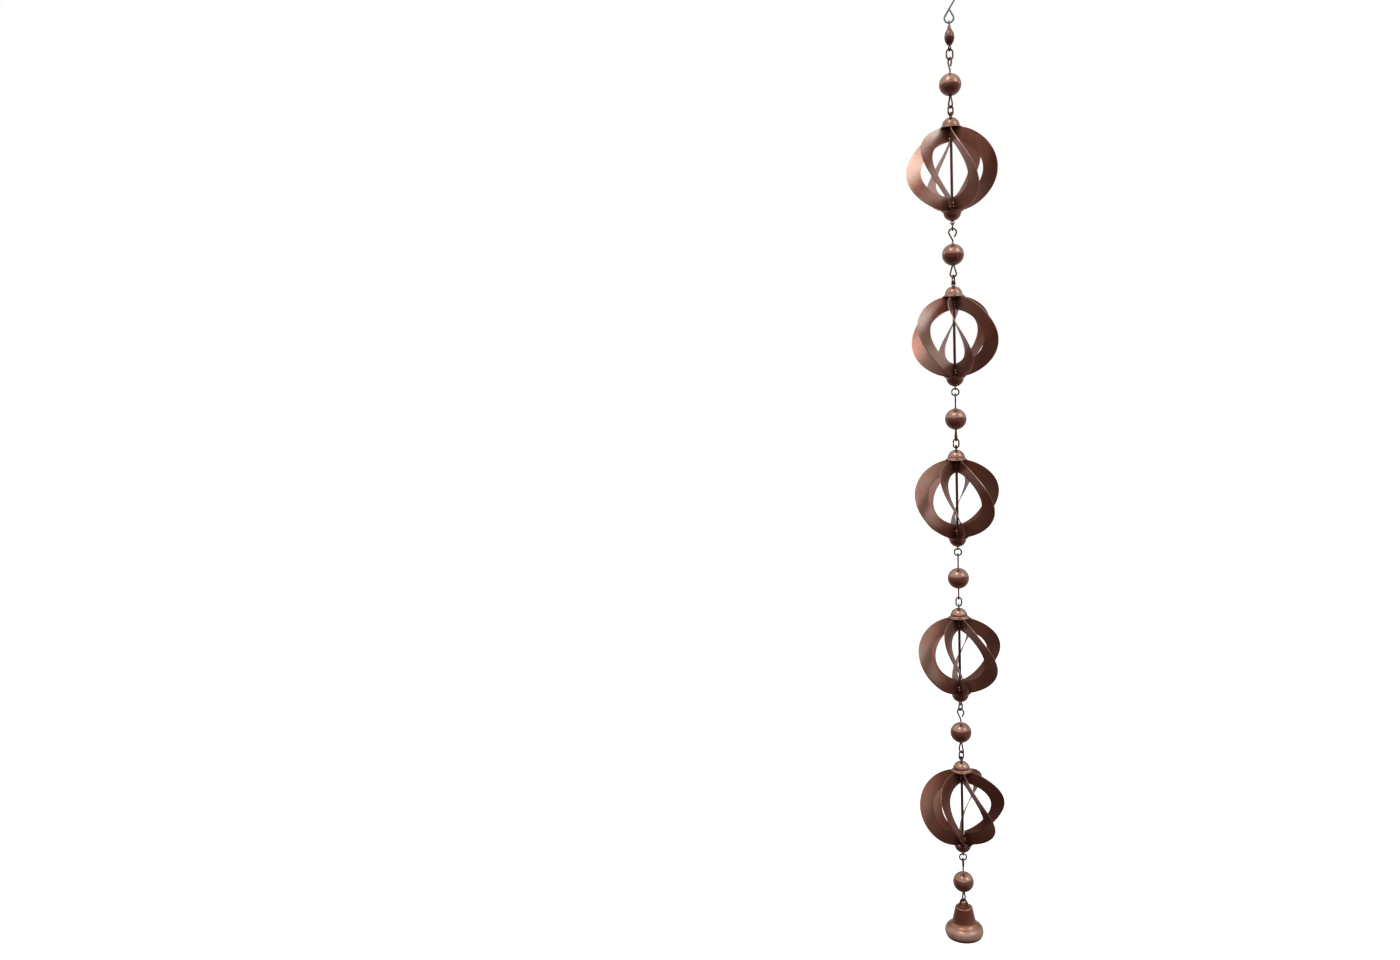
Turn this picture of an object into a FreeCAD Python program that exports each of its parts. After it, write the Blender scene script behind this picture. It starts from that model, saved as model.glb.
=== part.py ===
"""Rain chain: wire-hung balls and twisted six-blade spinners on open rings, with a swivel and a hook
at the top and a bell at the bottom.

The frame is in millimetres, +Z up. The origin is where the hook's upper bowl bears on what carries it,
and the chain hangs straight down from there. Yaw angles are about +Z, from +X, and -Y is the front.
"""
import FreeCAD, Part
import Sketcher
import math
import os

Vector = FreeCAD.Vector
Rotation = FreeCAD.Rotation
Placement = FreeCAD.Placement

# Headings in a sketch, in degrees from its first axis.
UP = math.degrees(math.pi / 2)
DOWN = -UP
OUTWARD = 0.0

# Driving dimensions, in millimetres and degrees. Each goes into one cell of the sheet.
SIZES = {
    # Wire and play
    "wire_diameter": 1.8,
    "hang_gap": 0.15,
    "running_gap": 0.08,
    "seat_gap": 0.15,
    # Hook
    "hook_wire_diameter": 2.0,
    "hook_upper_bend": 13.0,
    "hook_lower_bend": 4.9,
    "hook_stem_lean": 32.0,
    "hook_upper_wrap": 212.0,
    "hook_upper_tip": 4.0,
    "hook_lower_lean": 29.0,
    "hook_lower_tip": 6.5,
    # Swivel
    "swivel_wire_diameter": 1.6,
    "swivel_loop_bend": 2.6,
    "swivel_neck_height": 3.6,
    "swivel_neck_top_diameter": 3.4,
    "swivel_neck_foot_diameter": 4.4,
    "swivel_shank": 0.9,
    "swivel_head_diameter": 4.0,
    "swivel_head_thickness": 1.0,
    "barrel_diameter": 10.8,
    "barrel_end_diameter": 5.4,
    "barrel_length": 15.4,
    "barrel_wall": 0.9,
    "barrel_corner_bend": 1.3,
    # Rings
    "ring_gap": 0.45,
    "first_ring_width": 9.2,
    "first_ring_height": 12.8,
    "upper_ring_width": 8.0,
    "upper_ring_height": 11.8,
    "lower_ring_width": 9.8,
    # Balls and the wire through each
    "ball_diameter": 24.0,
    "ball_wall": 0.8,
    "ball_hole_gap": 0.12,
    "stem_length": 3.3,
    "knee_bend": 2.0,
    "top_eye_bend": 4.1,
    "top_eye_spread": 28.0,
    "leg_spacing": 2.0,
    "leg_shift_bend": 5.0,
    "leg_tail": 5.0,
    "shoulder_bend": 2.5,
    "bottom_eye_bend": 3.5,
    "bottom_eye_spread": 17.0,
    # Spinner blades
    "blade_count": 6,
    "blade_reach": 49.5,
    "blade_rise": 45.7,
    "blade_band": 15.8,
    "blade_thickness": 0.7,
    "blade_twist": 60.0,
    # Spinner caps
    "cap_dome_radius": 9.75,
    "cap_dome_turn": 84.0,
    "cap_sheet": 0.6,
    "cap_flare_bend": 1.3,
    "cap_flare_turn": 48.0,
    "cap_brim": 1.9,
    "cap_edge_bend": 0.9,
    "cap_edge_turn": 45.0,
    # Spinner axle and sleeves
    "axle_diameter": 3.0,
    "sleeve_diameter": 4.6,
    "top_sleeve_length": 11.0,
    "bottom_sleeve_length": 9.5,
    "lug_width": 4.8,
    "lug_thickness": 1.3,
    "lug_edge_round": 0.4,
    "lug_hole_diameter": 2.6,
    "lug_shoulder": 0.8,
    "lug_root": 0.45,
    "lug_tail": 1.5,
    "lug_tail_inset": 0.2,
    "top_lug_head": 2.3,
    "top_lug_corner": 0.7,
    "bottom_lug_bar": 1.2,
    # Bell
    "bell_wall": 1.1,
    "bell_crown_radius": 6.0,
    "bell_bead_foot_bend": 1.4,
    "bell_bead_crest_bend": 1.8,
    "bell_bead_turn": 48.0,
    "bell_cone_slope": 78.0,
    "bell_cone_length": 15.5,
    "bell_waist_bend": 8.5,
    "bell_waist_turn": 50.0,
    "bell_bowl_bend": 8.9,
    "bell_bowl_turn": 94.0,
    "bell_skirt": 0.4,
    "bell_lip_bend": 0.9,
    "bell_lip_turn": 40.0,
    "bell_lip": 0.2,
    "bell_lug_thickness": 1.8,
    "bell_lug_hole_diameter": 5.4,
    "bell_lug_rim": 2.2,
    "bell_lug_rise": 5.5,
    "bell_lug_foot": 14.0,
    # Clapper and the staple that it hangs from
    "clapper_wire_diameter": 1.4,
    "staple_bend": 2.0,
    "staple_leg": 2.2,
    "clapper_eye_bend": 2.2,
    "clapper_eye_spread": 30.0,
    "clapper_knee_bend": 1.4,
    "clapper_shank": 18.0,
    "bob_diameter": 8.0,
    "bob_grip": 5.0,
}

# Yaw of each ring's plane, spinner by spinner. The loops linked with a ring stand square to it.
FIRST_RING_YAW = 25.0
UPPER_RING_YAWS = (35.0, 70.0, 15.0, 0.0, 40.0)
LOWER_RING_YAWS = (90.0, 0.0, 0.0, 60.0, 8.0)
BELL_LUG_YAW = -28.0
# Turn of each cage about its axle at rest.
CAGE_TURNS = (57.0, 42.0, 21.0, 23.5, 12.0)

SPINNERS = len(CAGE_TURNS)
BLADE_STATIONS = 25
BLADE_RIBS = 5

doc = FreeCAD.newDocument("rain_chain")
sheet = doc.addObject("Spreadsheet::Sheet", "sizes")
for row, (alias, value) in enumerate(SIZES.items(), start=1):
    sheet.set(f"A{row}", alias)
    sheet.set(f"B{row}", str(value))
    sheet.setAlias(f"B{row}", alias)
doc.recompute()


def size(alias):
    """The number in the sheet's cell of this name."""
    return float(sheet.get(alias))


def direction(heading):
    """The unit vector at this angle from the sketch's first axis."""
    angle = math.radians(heading)
    return Vector(math.cos(angle), math.sin(angle), 0)


def sine(angle):
    """The sine of an angle in degrees."""
    return math.sin(math.radians(angle))


def cosine(angle):
    """The cosine of an angle in degrees."""
    return math.cos(math.radians(angle))


class Bends:
    """A line in one plane drawn as a bender works: straight runs and arcs, each tangent to the last.

    With an offset it is the parallel line at that distance to the left, so a pair of them bounds a sheet.
    """

    def __init__(self, across, up, heading, offset=0.0):
        self.point = Vector(across, up, 0) + direction(heading + 90.0) * offset
        self.start = self.point
        self.heading = heading
        self.offset = offset
        self.steps = []

    def straight(self, length, bound=None):
        """Run on by this length. bound is the sheet's expression for it."""
        start = self.point
        self.point = start + direction(self.heading) * length
        self.steps.append((Part.LineSegment(start, self.point), 1, bound))
        return self

    def bend(self, radius, turn, bound=None):
        """Turn by this many degrees, anticlockwise if positive. bound is the expression for the radius."""
        left = turn > 0
        side = 90.0 if left else -90.0
        reach = radius - self.offset if left else radius + self.offset
        centre = self.point + direction(self.heading + side) * reach
        first = self.heading - side
        low, high = sorted((first, first + turn))
        circle = Part.Circle(centre, Vector(0, 0, 1), reach)
        arc = Part.ArcOfCircle(circle, math.radians(low), math.radians(high))
        self.point = centre + direction(first + turn) * reach
        self.heading += turn
        self.steps.append((arc, 1 if left else 2, None if self.offset else bound))
        return self


def new_body(name):
    """An empty body whose label will name its file."""
    body = doc.addObject("PartDesign::Body", name)
    body.Label = name
    return body


def sketch_on(body, name, yaw=0.0):
    """A sketch on the body's upright plane, turned about the vertical by this yaw."""
    sketch = body.newObject("Sketcher::SketchObject", name)
    plane = next(item for item in body.Origin.OriginFeatures if item.Role == "XZ_Plane")
    sketch.AttachmentSupport = [(plane, "")]
    sketch.MapMode = "FlatFace"
    sketch.AttachmentOffset = Placement(Vector(), Rotation(Vector(0, 1, 0), yaw))
    return sketch


def bind(sketch, kind, item, value, expression):
    """Give one line or arc a size that follows the sheet."""
    index = sketch.addConstraint(Sketcher.Constraint(kind, item, value))
    if expression:
        sketch.setExpression(f"Constraints[{index}]", expression)


def draw(sketch, bends):
    """Add a bent line to a sketch, tangent from step to step, with its bound sizes."""
    for number, (shape, start, bound) in enumerate(bends.steps):
        item = sketch.addGeometry(shape, False)
        if number:
            end = 3 - bends.steps[number - 1][1]
            sketch.addConstraint(Sketcher.Constraint("Tangent", item - 1, end, item, start))
        if bound:
            is_line = isinstance(shape, Part.LineSegment)
            kind = "Distance" if is_line else "Radius"
            value = shape.length() if is_line else shape.Radius
            bind(sketch, kind, item, value, bound)


def sweep_wire(body, name, bends, diameter, yaw=0.0):
    """Sweep a round wire along a bent line in the upright plane at this yaw."""
    path = sketch_on(body, f"{name}Path", yaw)
    draw(path, bends)
    section = body.newObject("Sketcher::SketchObject", f"{name}Section")
    section.AttachmentSupport = [(path, "Edge1")]
    section.MapMode = "NormalToEdge"
    section.MapPathParameter = 0.0
    radius = size(diameter) / 2
    section.addGeometry(Part.Circle(Vector(), Vector(0, 0, 1), radius), False)
    section.addConstraint(Sketcher.Constraint("Coincident", 0, 3, -1, 1))
    bind(section, "Radius", 0, radius, f"sizes.{diameter} / 2")
    doc.recompute()
    pipe = body.newObject("PartDesign::AdditivePipe", f"{name}Pipe")
    pipe.Profile = section
    pipe.Spine = (path, [f"Edge{number + 1}" for number in range(len(bends.steps))])
    body.Tip = pipe
    return pipe


def spin_sheet(body, name, outline, thickness):
    """Revolve the strip between an outline and its parallel, a sheet's thickness inside it."""
    outer = outline(0.0)
    inner = outline(-thickness)
    sketch = sketch_on(body, f"{name}Section")
    draw(sketch, outer)
    draw(sketch, inner)
    sketch.addGeometry(Part.LineSegment(outer.start, inner.start), False)
    sketch.addGeometry(Part.LineSegment(outer.point, inner.point), False)
    return revolve(body, name, sketch)


def revolve(body, name, sketch):
    """Turn a sketch once round the vertical axis."""
    doc.recompute()
    turning = body.newObject("PartDesign::Revolution", f"{name}Turning")
    turning.Profile = sketch
    turning.ReferenceAxis = (sketch, ["V_Axis"])
    turning.Angle = 360.0
    body.Tip = turning
    return turning


def outline(sketch, points):
    """Add a closed outline of straight lines to a sketch."""
    first = sketch.GeometryCount
    count = len(points)
    for number, point in enumerate(points):
        following = points[(number + 1) % count]
        sketch.addGeometry(Part.LineSegment(Vector(*point, 0), Vector(*following, 0)), False)
    for number in range(count):
        item = first + number
        after = first + (number + 1) % count
        sketch.addConstraint(Sketcher.Constraint("Coincident", item, 2, after, 1))


def cylinder(name, diameter, height, foot, bound=None):
    """A round bar on the axis, from this height up."""
    bar = doc.addObject("Part::Cylinder", name)
    bar.Radius = diameter / 2
    bar.Height = height
    bar.Placement = Placement(Vector(0, 0, foot), Rotation())
    if bound:
        bar.setExpression("Radius", bound)
    return bar


def fuse(name, shapes):
    """One piece of several shapes that run into each other."""
    joined = doc.addObject("Part::MultiFuse", name)
    joined.Shapes = shapes
    joined.Refine = True
    return joined


def cut(name, base, tool):
    """A piece with another shape taken out of it."""
    left = doc.addObject("Part::Cut", name)
    left.Base = base
    left.Tool = tool
    left.Refine = True
    return left


WIRE = size("wire_diameter")
WIRE_RADIUS = WIRE / 2
LINK = WIRE + size("hang_gap")
HOOK_RADIUS = size("hook_wire_diameter") / 2
SWIVEL_RADIUS = size("swivel_wire_diameter") / 2
BALL_RADIUS = size("ball_diameter") / 2
CLAPPER_RADIUS = size("clapper_wire_diameter") / 2
AXLE_RADIUS = size("axle_diameter") / 2

pieces = []
levels = {}


def finish(piece, name, level=0.0):
    """Name a finished piece, hang it at its level and list it for writing."""
    piece.Label = name
    piece.Placement = Placement(Vector(0, 0, level), Rotation())
    pieces.append(piece)
    return piece


def eye_rise(bend, knee, spread):
    """How far a teardrop eye's far wire centre lies from the foot of its knee."""
    run = (bend * cosine(spread) - knee * (1 - cosine(spread))) / sine(spread)
    return knee * sine(spread) + run * cosine(spread) + bend * sine(spread) + bend


def add_eye(path, bend, knee, spread, wire_radius):
    """Bend a teardrop eye on the end of a straight stem, its tail stopping beside the stem."""
    run = (size(bend) * cosine(spread) - size(knee) * (1 - cosine(spread))) / sine(spread)
    stop = wire_radius * (1 + cosine(spread)) + size("hang_gap")
    tail = (size(bend) * cosine(spread) - stop) / sine(spread)
    path.bend(size(knee), -spread, f"sizes.{knee}").straight(run)
    path.bend(size(bend), 180 + 2 * spread, f"sizes.{bend}").straight(tail)


def make_hook():
    """The S-hook: a small pinched bowl below, a leaning stem and a plain larger bowl above."""
    lower, upper = size("hook_lower_bend"), size("hook_upper_bend")
    lean, tip_lean = size("hook_stem_lean"), size("hook_lower_lean")
    tip = size("hook_lower_tip")
    apart = (lower + upper) / sine(lean)
    lower_centre = Vector(0, HOOK_RADIUS - upper - apart, 0)
    heading = DOWN + tip_lean
    start = lower_centre + direction(tip_lean) * lower - direction(heading) * tip
    path = Bends(start.x, start.y, heading)
    path.straight(tip, "sizes.hook_lower_tip")
    path.bend(lower, -(180 + tip_lean + lean), "sizes.hook_lower_bend")
    path.straight(apart * cosine(lean))
    path.bend(upper, size("hook_upper_wrap"), "sizes.hook_upper_bend")
    path.straight(size("hook_upper_tip"), "sizes.hook_upper_tip")
    body = new_body("s_hook")
    sweep_wire(body, "Hook", path, "hook_wire_diameter")
    finish(body, "s_hook")
    levels["hook_bearing"] = lower_centre.y - lower


def barrel_outline(offset):
    """Half of the barrel's section, from the upper hole round to the lower one."""
    hole = SWIVEL_RADIUS + size("running_gap")
    end, half = size("barrel_end_diameter") / 2, size("barrel_length") / 2
    rise = size("barrel_diameter") / 2 - end
    slope = 2 * math.degrees(math.atan(rise / half))
    corner = size("barrel_corner_bend")
    face = end - corner * cosine(slope) - hole
    path = Bends(hole, half + corner * (1 - sine(slope)), OUTWARD, offset)
    path.straight(face)
    path.bend(corner, slope - 90, "sizes.barrel_corner_bend")
    path.bend(half / sine(slope), -2 * slope)
    path.bend(corner, slope - 90, "sizes.barrel_corner_bend")
    return path.straight(face)


def loop(name, level, yaw):
    """A closed wire loop, its plane upright at this yaw."""
    ring = doc.addObject("Part::Torus", name)
    ring.setExpression("Radius1", "sizes.swivel_loop_bend")
    ring.setExpression("Radius2", "sizes.swivel_wire_diameter / 2")
    upright = Rotation(Vector(1, 0, 0), 90)
    ring.Placement = Placement(Vector(0, 0, level), Rotation(Vector(0, 0, 1), yaw) * upright)
    return ring


def make_swivel():
    """The barrel swivel: two headed eyes that turn in the ends of a hollow barrel."""
    bend = size("swivel_loop_bend")
    neck = size("swivel_neck_height")
    head = size("swivel_head_thickness")
    seat = size("seat_gap")
    upper_loop = levels["hook_bearing"] + HOOK_RADIUS + size("hang_gap") + SWIVEL_RADIUS - bend
    neck_foot = upper_loop - bend - neck
    outer = barrel_outline(0.0)
    half = outer.start.y
    barrel_centre = neck_foot - seat - half
    upper_head = half - size("barrel_wall") - seat - head
    lower_head = seat + size("barrel_wall") - half
    lower_loop = -half - size("swivel_shank") - bend

    collar = doc.addObject("Part::Cone", "UpperNeck")
    collar.setExpression("Radius1", "sizes.swivel_neck_foot_diameter / 2")
    collar.setExpression("Radius2", "sizes.swivel_neck_top_diameter / 2")
    collar.setExpression("Height", "sizes.swivel_neck_height")
    collar.Placement = Placement(Vector(0, 0, neck_foot - barrel_centre), Rotation())
    wire_bound = "sizes.swivel_wire_diameter / 2"
    head_bound = "sizes.swivel_head_diameter / 2"
    shank_top = neck_foot - barrel_centre
    upper_shapes = [
        loop("UpperLoop", upper_loop - barrel_centre, 90.0),
        collar,
        cylinder("UpperShank", 2 * SWIVEL_RADIUS, shank_top - upper_head, upper_head, wire_bound),
        cylinder("UpperHead", size("swivel_head_diameter"), head, upper_head, head_bound),
    ]
    lower_shapes = [
        loop("LowerLoop", lower_loop, FIRST_RING_YAW + 90),
        cylinder("LowerShank", 2 * SWIVEL_RADIUS, lower_head - lower_loop - bend, lower_loop + bend,
                 wire_bound),
        cylinder("LowerHead", size("swivel_head_diameter"), head, lower_head, head_bound),
    ]
    finish(fuse("UpperEye", upper_shapes), "swivel_upper_eye", barrel_centre)
    body = new_body("Barrel")
    spin_sheet(body, "Barrel", barrel_outline, size("barrel_wall"))
    finish(body, "swivel_barrel", barrel_centre)
    finish(fuse("LowerEye", lower_shapes), "swivel_lower_eye", barrel_centre)
    levels["barrel"] = barrel_centre
    levels["swivel_bearing"] = barrel_centre + lower_loop - bend


def ring_path(width, height):
    """An open ring's centre line, from one cut end round to the other, the cut on its left side."""
    bend = (width - WIRE) / 2
    side = height - width
    gap = size("ring_gap")
    if side < gap:
        cut_angle = math.degrees(gap / bend) / 2
        start = direction(180 + cut_angle) * bend
        path = Bends(start.x, start.y, DOWN + cut_angle)
        return path.bend(bend, 360 - 2 * cut_angle)
    path = Bends(-bend, -gap / 2, DOWN)
    path.straight((side - gap) / 2).bend(bend, 180).straight(side).bend(bend, 180)
    return path.straight((side - gap) / 2)


def make_ring(name, width, height, yaw, upper_wire):
    """An open ring hung with its top wire centre at this level. Returns its bottom wire centre's level."""
    body = new_body(name)
    sweep_wire(body, "Ring", ring_path(width, height), "wire_diameter", yaw)
    half = (height - WIRE) / 2
    finish(body, name, upper_wire - half)
    return upper_wire - 2 * half


TOP_EYE = BALL_RADIUS + size("stem_length") + eye_rise(
    size("top_eye_bend"), size("knee_bend"), size("top_eye_spread"))


def top_eye_path():
    """From the ball's centre up the stem and round the upper eye."""
    path = Bends(0, 0, UP).straight(BALL_RADIUS + size("stem_length"))
    add_eye(path, "top_eye_bend", "knee_bend", size("top_eye_spread"), WIRE_RADIUS)
    return path


def bottom_eye_path():
    """From the ball's centre down one leg, round the lower eye and back into the ball."""
    half_legs = size("leg_spacing") / 2
    shift = size("leg_shift_bend")
    lean = math.degrees(math.acos(1 - half_legs / (2 * shift)))
    spread, bend, shoulder = size("bottom_eye_spread"), size("bottom_eye_bend"), size("shoulder_bend")
    leg = BALL_RADIUS - 2 * shift * sine(lean)
    run = (bend * cosine(spread) - half_legs - shoulder * (1 - cosine(spread))) / sine(spread)
    path = Bends(0, 0, DOWN)
    path.bend(shift, -lean).bend(shift, lean).straight(leg)
    path.bend(shoulder, -spread, "sizes.shoulder_bend").straight(run)
    path.bend(bend, 180 + 2 * spread, "sizes.bottom_eye_bend").straight(run)
    path.bend(shoulder, -spread, "sizes.shoulder_bend").straight(size("leg_tail"), "sizes.leg_tail")
    return path


def bottom_eye_drop():
    """How far the lower eye's bottom wire centre lies below the ball's centre."""
    spread, bend, shoulder = size("bottom_eye_spread"), size("bottom_eye_bend"), size("shoulder_bend")
    half_legs = size("leg_spacing") / 2
    run = (bend * cosine(spread) - half_legs - shoulder * (1 - cosine(spread))) / sine(spread)
    return BALL_RADIUS + shoulder * sine(spread) + run * cosine(spread) + bend * sine(spread) + bend


def make_ball(number, centre, top_yaw, bottom_yaw):
    """A hollow ball and the bent wire through it, an eye at each end."""
    name = f"ball_{number}"
    outside = doc.addObject("Part::Sphere", f"Outside{number}")
    outside.setExpression("Radius", "sizes.ball_diameter / 2")
    inside = doc.addObject("Part::Sphere", f"Inside{number}")
    inside.setExpression("Radius", "sizes.ball_diameter / 2 - sizes.ball_wall")
    stem_hole = cylinder(f"StemHole{number}", WIRE + 2 * size("ball_hole_gap"), BALL_RADIUS, 0.0,
                         "sizes.wire_diameter / 2 + sizes.ball_hole_gap")
    leg_hole = cylinder(f"LegHole{number}", size("leg_spacing") + WIRE, BALL_RADIUS, -BALL_RADIUS,
                        "(sizes.leg_spacing + sizes.wire_diameter) / 2 + sizes.ball_hole_gap")
    hollow = fuse(f"Hollow{number}", [inside, stem_hole, leg_hole])
    finish(cut(f"Ball{number}", outside, hollow), name, centre)
    body = new_body(f"{name}_wire")
    sweep_wire(body, "TopEye", top_eye_path(), "wire_diameter", top_yaw)
    sweep_wire(body, "BottomEye", bottom_eye_path(), "wire_diameter", bottom_yaw)
    finish(body, f"{name}_wire", centre)


def cap_outline(offset):
    """Half of a cap's section with the dome's centre at the origin: dome, flare, brim and turned edge."""
    dome = size("cap_dome_radius")
    hole = AXLE_RADIUS + size("running_gap")
    start = math.degrees(math.asin(hole / dome))
    path = Bends(hole, dome * cosine(start), -start, offset)
    path.bend(dome, start - size("cap_dome_turn"), "sizes.cap_dome_radius")
    path.bend(size("cap_flare_bend"), size("cap_flare_turn"), "sizes.cap_flare_bend")
    path.straight(size("cap_brim"), "sizes.cap_brim")
    return path.bend(size("cap_edge_bend"), -size("cap_edge_turn"), "sizes.cap_edge_bend")


def blade_height(radius):
    """The height of a blade's top edge at this distance from the axle."""
    return size("blade_rise") * math.sqrt(1 - (radius / size("blade_reach")) ** 2)


CAP_EDGE = cap_outline(-size("cap_sheet")).point
CAP_FOOT = cap_outline(0.0).point
CAP_CENTRE = (blade_height(min(CAP_EDGE.x, CAP_FOOT.x)) + size("seat_gap")
              - min(CAP_EDGE.y, CAP_FOOT.y))
APEX = CAP_CENTRE + size("cap_dome_radius")
BLADE_FOOT = size("sleeve_diameter") / 2 + size("running_gap")


def blade_point(along, across, side, turn):
    """A point of a blade's face. along runs from -1 at the foot to 1 at the top, across from 0 at the inner
    edge to 1 at the outer one, and side is half the sheet's thickness, to either side of its middle."""
    reach, rise = size("blade_reach"), size("blade_rise")
    inner_reach, inner_rise = reach - size("blade_band"), rise - size("blade_band")
    outer_angle = along * math.acos(BLADE_FOOT / reach)
    inner_angle = along * math.acos(BLADE_FOOT / inner_reach)
    radius = (1 - across) * inner_reach * math.cos(inner_angle) + across * reach * math.cos(outer_angle)
    height = (1 - across) * inner_rise * math.sin(inner_angle) + across * rise * math.sin(outer_angle)
    rate = -math.radians(size("blade_twist")) / (2 * rise)
    azimuth = math.radians(turn) + rate * height
    normal = Vector(math.sin(azimuth), -math.cos(azimuth), radius * rate)
    normal.normalize()
    middle = Vector(radius * math.cos(azimuth), radius * math.sin(azimuth), height)
    return middle + normal * side


def blade_face(side, turn):
    """One face of a blade, through a net of its points."""
    net = []
    for station in range(BLADE_STATIONS):
        along = 2 * station / (BLADE_STATIONS - 1) - 1
        ribs = [rib / (BLADE_RIBS - 1) for rib in range(BLADE_RIBS)]
        net.append([blade_point(along, across, side, turn) for across in ribs])
    face = Part.BSplineSurface()
    face.interpolate(net)
    return face


def blade_solid(turn):
    """A flat C of sheet twisted about the axle: two faces and the four narrow edges between them."""
    half = size("blade_thickness") / 2
    front, back = blade_face(half, turn), blade_face(-half, turn)
    faces = [front.toShape(), back.toShape()]
    low_u, high_u, low_v, high_v = front.bounds()
    for place in (low_u, high_u):
        faces.append(Part.makeRuledSurface(front.uIso(place).toShape(), back.uIso(place).toShape()))
    for place in (low_v, high_v):
        faces.append(Part.makeRuledSurface(front.vIso(place).toShape(), back.vIso(place).toShape()))
    shell = Part.makeShell(faces)
    shell.sewShape()
    solid = Part.makeSolid(shell)
    if solid.Volume < 0:
        solid.reverse()
    return solid


def lug_sketch(name, root, hole_centre, end, corner, facing):
    """A lug's outline and hole in an upright plane, from its tail in the rod to its free end."""
    half = size("lug_width") / 2
    tail = AXLE_RADIUS - size("lug_tail_inset")
    shoulder = size("lug_shoulder")
    sketch = doc.addObject("Sketcher::SketchObject", name)
    side = end - corner - root - shoulder
    edge = [Vector(tail, root - size("lug_tail"), 0), Vector(tail, root, 0), Vector(half, root + shoulder, 0)]
    for start, stop in zip(edge, edge[1:]):
        sketch.addGeometry(Part.LineSegment(start, stop), False)
        sketch.addGeometry(Part.LineSegment(mirrored(start), mirrored(stop)), False)
    sketch.addGeometry(Part.LineSegment(edge[0], mirrored(edge[0])), False)
    path = Bends(half, root + shoulder, UP).straight(side).bend(corner, 90)
    if half - corner > size("running_gap"):
        path.straight(2 * (half - corner))
    path.bend(corner, 90).straight(side)
    draw(sketch, path)
    hole = Part.Circle(Vector(0, hole_centre, 0), Vector(0, 0, 1), size("lug_hole_diameter") / 2)
    item = sketch.addGeometry(hole, False)
    bind(sketch, "Radius", item, size("lug_hole_diameter") / 2, "sizes.lug_hole_diameter / 2")
    sketch.Placement = Placement(Vector(), facing)
    return sketch


def mirrored(point):
    """A sketch point on the other side of the axis."""
    return Vector(-point.x, point.y, 0)


def plate(name, sketch, thickness, round_edges=0.0):
    """A plate of this outline, centred on its plane, with its face edges rounded."""
    slab = doc.addObject("Part::Extrusion", name)
    slab.Base = sketch
    slab.DirMode = "Normal"
    slab.Symmetric = True
    slab.Solid = True
    slab.setExpression("LengthFwd", f"sizes.{thickness}")
    doc.recompute()
    if not round_edges:
        return slab
    along = sketch.Placement.Rotation.multVec(Vector(0, 0, 1))
    half = size(thickness) / 2
    rim = [number for number, edge in enumerate(slab.Shape.Edges, start=1)
           if all(abs(abs(vertex.Point.dot(along)) - half) < half / 10 for vertex in edge.Vertexes)
           and abs(edge.CenterOfMass.dot(along)) > half / 2]
    rounded = doc.addObject("Part::Fillet", f"{name}Rounded")
    rounded.Base = slab
    rounded.Edges = [(number, round_edges, round_edges) for number in rim]
    return rounded


def upright(yaw, flipped=False):
    """The turn that stands a flat sketch up at this yaw, upside down if flipped."""
    stand = Rotation(Vector(1, 0, 0), 90)
    over = Rotation(Vector(0, 1, 0), 180 if flipped else 0)
    return Rotation(Vector(0, 0, 1), yaw) * over * stand


HOLE_RADIUS = size("lug_hole_diameter") / 2
LUG_HALF = size("lug_thickness") / 2
UPPER_RING_INSIDE = size("upper_ring_width") / 2 - WIRE
UPPER_RING_SAG = UPPER_RING_INSIDE - math.sqrt(UPPER_RING_INSIDE ** 2 - LUG_HALF ** 2)
LUG_FOOT = APEX + size("seat_gap")
LUG_HOLE = LUG_FOOT + size("lug_root") + HOLE_RADIUS
TOP_LUG_WIRE = LUG_HOLE + HOLE_RADIUS - WIRE_RADIUS - size("hang_gap") - UPPER_RING_SAG
TOP_LUG_END = LUG_HOLE + HOLE_RADIUS + size("top_lug_head")
BAR_CENTRE = LUG_HOLE + HOLE_RADIUS + size("bottom_lug_bar") / 2
BAR_ROUND = size("lug_edge_round")
BAR_CORNER = BAR_ROUND + math.hypot(LUG_HALF - BAR_ROUND, size("bottom_lug_bar") / 2 - BAR_ROUND)
BOTTOM_LUG_WIRE = BAR_CENTRE - BAR_CORNER - size("hang_gap") - WIRE_RADIUS
BOTTOM_LUG_END = LUG_HOLE + HOLE_RADIUS + size("bottom_lug_bar")


def make_axle(name, centre, top_yaw, bottom_yaw):
    """The rod on which a cage turns, its ends flattened into lugs with a hole."""
    rod = cylinder(f"{name}Rod", 2 * AXLE_RADIUS, 2 * LUG_FOOT, -LUG_FOOT, "sizes.axle_diameter / 2")
    corner = size("lug_width") / 2
    top = lug_sketch(f"{name}TopOutline", LUG_FOOT, LUG_HOLE, TOP_LUG_END, size("top_lug_corner"),
                     upright(top_yaw))
    bottom = lug_sketch(f"{name}BottomOutline", LUG_FOOT, LUG_HOLE, BOTTOM_LUG_END, corner,
                        upright(bottom_yaw, True))
    lugs = [plate(f"{name}TopLug", top, "lug_thickness", BAR_ROUND),
            plate(f"{name}BottomLug", bottom, "lug_thickness", BAR_ROUND)]
    finish(fuse(name, [rod] + lugs), f"{name}_axle", centre)


def make_sleeve(name, piece, centre, foot, length):
    """A tube that turns on the axle and carries the blades' ends."""
    tube = cylinder(f"{name}{piece}Tube", size("sleeve_diameter"), size(length), foot,
                    "sizes.sleeve_diameter / 2")
    bore = cylinder(f"{name}{piece}Bore", 2 * (AXLE_RADIUS + size("running_gap")), size(length), foot,
                    "sizes.axle_diameter / 2 + sizes.running_gap")
    for bar in (tube, bore):
        bar.setExpression("Height", f"sizes.{length}")
    finish(cut(f"{name}{piece}", tube, bore), f"{name}_{piece}", centre)


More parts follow.
